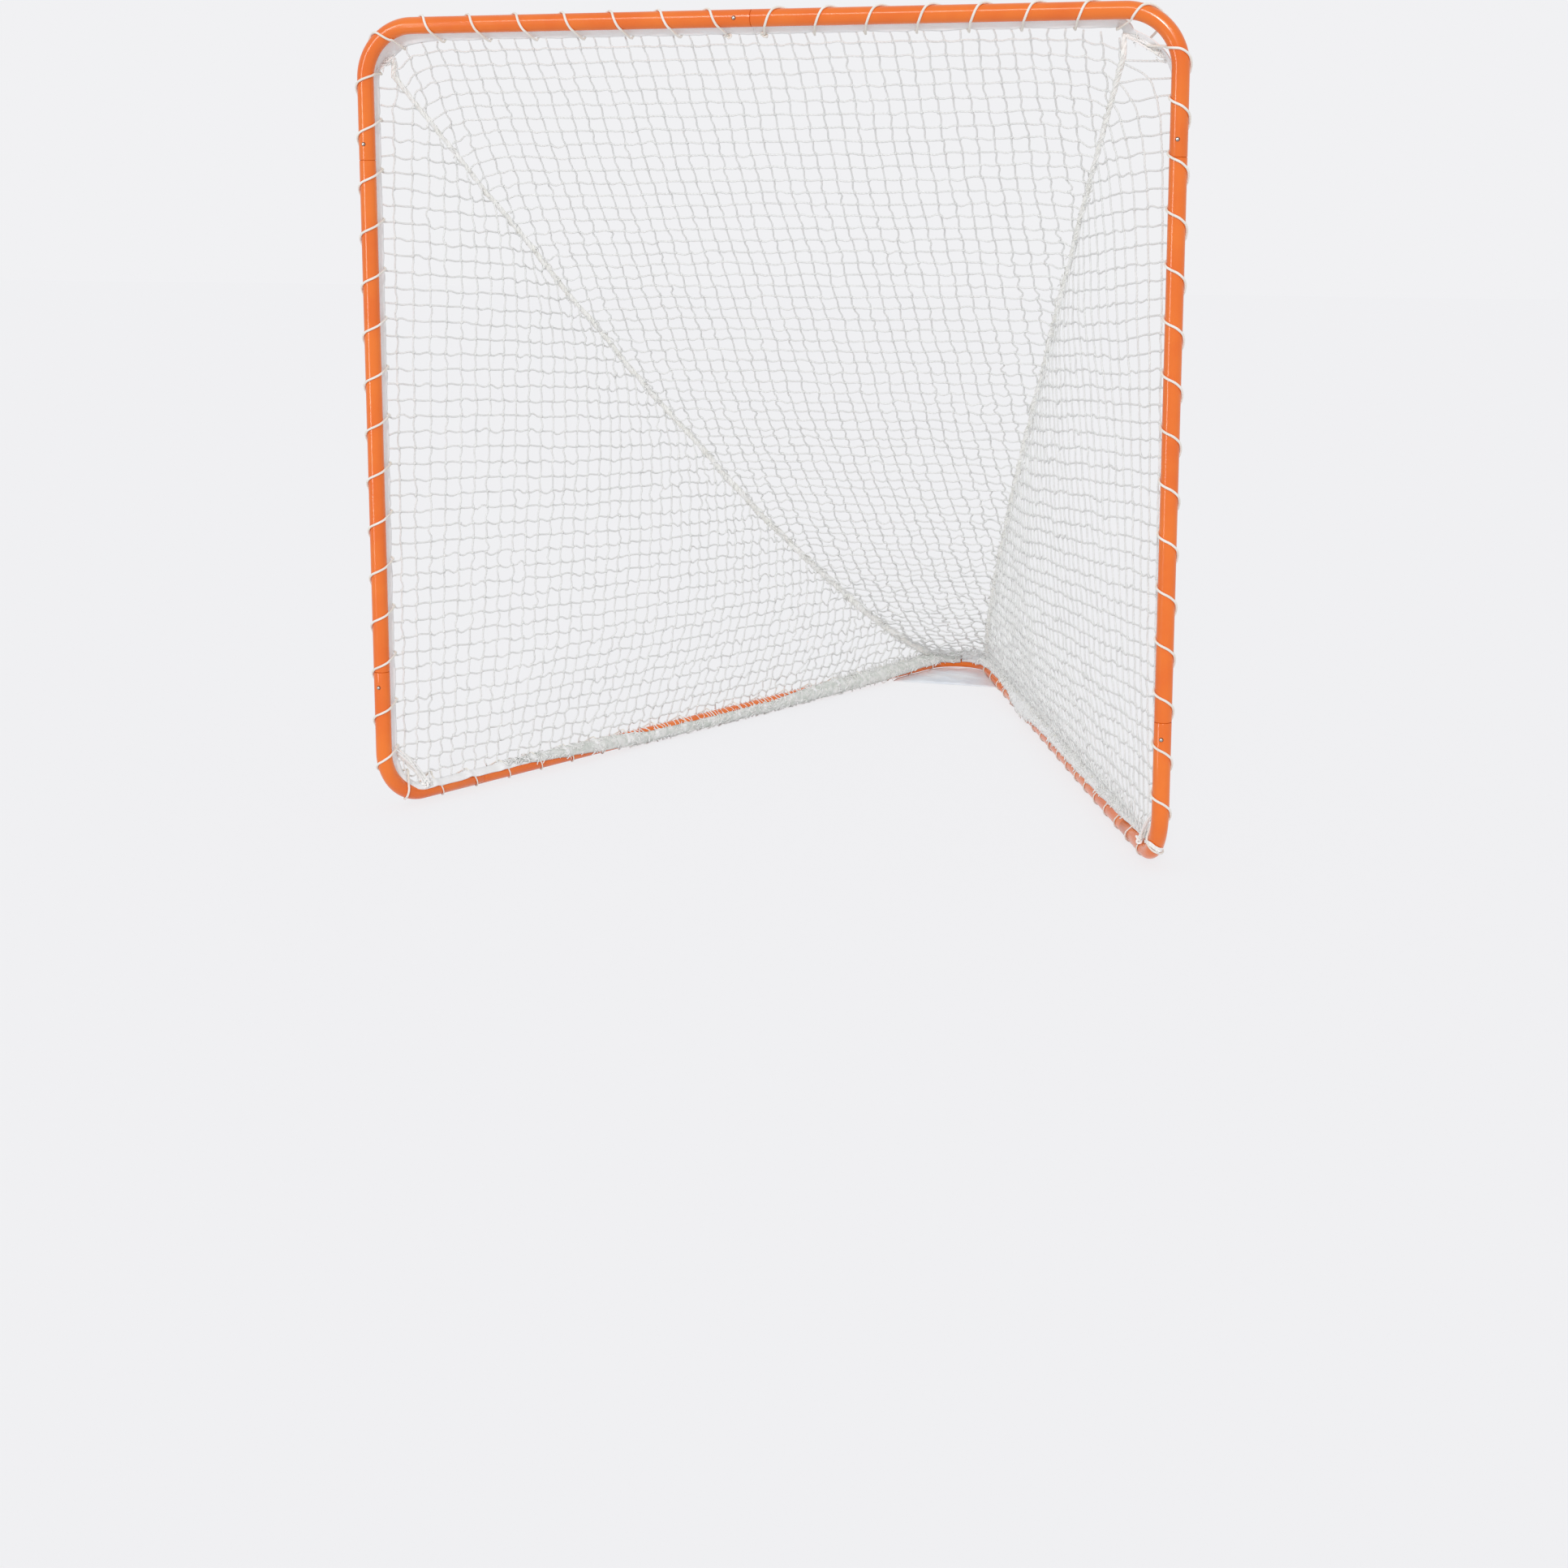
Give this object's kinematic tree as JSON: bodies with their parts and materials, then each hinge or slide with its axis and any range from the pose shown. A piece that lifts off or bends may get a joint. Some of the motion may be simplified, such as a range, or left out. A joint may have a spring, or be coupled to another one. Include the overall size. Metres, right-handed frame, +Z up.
{
  "type": "lacrosse goal",
  "caption": "Lacrosse goal: orange tubular steel mouth and V-shaped base with a white knotted net laced to it, sloping to a point at the back.",
  "frame": {"origin": "on the ground, under the middle of the goal's width and depth", "axes": "+X to the right of a person who faces the mouth, +Y from the mouth to the rear apex, +Z up"},
  "size_m": [1.9212, 2.181, 1.8749],
  "materials": {
    "orange_powder_coat": "gloss",
    "spring_steel": "satin",
    "net_twine": "matte",
    "lacing_cord": "matte",
    "edge_tape": "matte",
    "panel_fabric": "matte"
  },
  "bodies": {
    "goal_frame": {"left_upper_corner_tube": "orange_powder_coat", "left_post_tube": "orange_powder_coat", "left_lower_corner_tube": "orange_powder_coat", "left_base_rail": "orange_powder_coat", "right_upper_corner_tube": "orange_powder_coat", "right_post_tube": "orange_powder_coat", "right_lower_corner_tube": "orange_powder_coat", "right_base_rail": "orange_powder_coat", "rear_apex_tube": "orange_powder_coat", "snap_spring_crossbar": "spring_steel", "snap_spring_left_post_top": "spring_steel", "snap_spring_left_post_bottom": "spring_steel", "snap_spring_left_rail_front": "spring_steel", "snap_spring_left_rail_rear": "spring_steel", "snap_spring_right_post_top": "spring_steel", "snap_spring_right_post_bottom": "spring_steel", "snap_spring_right_rail_front": "spring_steel", "snap_spring_right_rail_rear": "spring_steel", "left_side_net": "net_twine", "right_side_net": "net_twine", "back_net": "net_twine", "left_seam_cord": "lacing_cord", "right_seam_cord": "lacing_cord", "left_lacing": "lacing_cord", "right_lacing": "lacing_cord", "left_base_lacing": "lacing_cord", "right_base_lacing": "lacing_cord", "left_edge_tape": "edge_tape", "right_edge_tape": "edge_tape", "apex_ground_panel": "panel_fabric"},
    "button_crossbar": {"snap_button_crossbar": "spring_steel"},
    "button_left_post_top": {"snap_button_left_post_top": "spring_steel"},
    "button_left_post_bottom": {"snap_button_left_post_bottom": "spring_steel"},
    "button_left_rail_front": {"snap_button_left_rail_front": "spring_steel"},
    "button_left_rail_rear": {"snap_button_left_rail_rear": "spring_steel"},
    "button_right_post_top": {"snap_button_right_post_top": "spring_steel"},
    "button_right_post_bottom": {"snap_button_right_post_bottom": "spring_steel"},
    "button_right_rail_front": {"snap_button_right_rail_front": "spring_steel"},
    "button_right_rail_rear": {"snap_button_right_rail_rear": "spring_steel"}
  },
  "joints": [
    {"name": "press_crossbar", "type": "hinge", "parent": "goal_frame", "child": "button_crossbar", "pos_m": [0.012, -1.07058, 1.84805], "axis": [0, 0, -1], "range_deg": [0, 6.5], "stiffness_Nm_per_rad": 2},
    {"name": "press_left_post_top", "type": "hinge", "parent": "goal_frame", "child": "button_left_post_top", "pos_m": [-0.93355, -1.07058, 1.53505], "axis": [-1, 0, 0], "range_deg": [0, 6.5], "stiffness_Nm_per_rad": 2},
    {"name": "press_left_post_bottom", "type": "hinge", "parent": "goal_frame", "child": "button_left_post_bottom", "pos_m": [-0.93355, -1.07058, 0.355], "axis": [1, 0, 0], "range_deg": [0, 6.5], "stiffness_Nm_per_rad": 2},
    {"name": "press_left_rail_front", "type": "hinge", "parent": "goal_frame", "child": "button_left_rail_front", "pos_m": [-0.81948, -0.76028, 0.0274], "axis": [0, 0, 1], "range_deg": [0, 6.5], "stiffness_Nm_per_rad": 2},
    {"name": "press_left_rail_rear", "type": "hinge", "parent": "goal_frame", "child": "button_left_rail_rear", "pos_m": [-0.2381, 0.67199, 0.0274], "axis": [0, 0, -1], "range_deg": [0, 6.5], "stiffness_Nm_per_rad": 2},
    {"name": "press_right_post_top", "type": "hinge", "parent": "goal_frame", "child": "button_right_post_top", "pos_m": [0.93355, -1.07058, 1.53505], "axis": [-1, 0, 0], "range_deg": [0, 6.5], "stiffness_Nm_per_rad": 2},
    {"name": "press_right_post_bottom", "type": "hinge", "parent": "goal_frame", "child": "button_right_post_bottom", "pos_m": [0.93355, -1.07058, 0.355], "axis": [1, 0, 0], "range_deg": [0, 6.5], "stiffness_Nm_per_rad": 2},
    {"name": "press_right_rail_front", "type": "hinge", "parent": "goal_frame", "child": "button_right_rail_front", "pos_m": [0.81948, -0.76028, 0.0274], "axis": [0, 0, -1], "range_deg": [0, 6.5], "stiffness_Nm_per_rad": 2},
    {"name": "press_right_rail_rear", "type": "hinge", "parent": "goal_frame", "child": "button_right_rail_rear", "pos_m": [0.2381, 0.67199, 0.0274], "axis": [0, 0, 1], "range_deg": [0, 6.5], "stiffness_Nm_per_rad": 2}
  ]
}
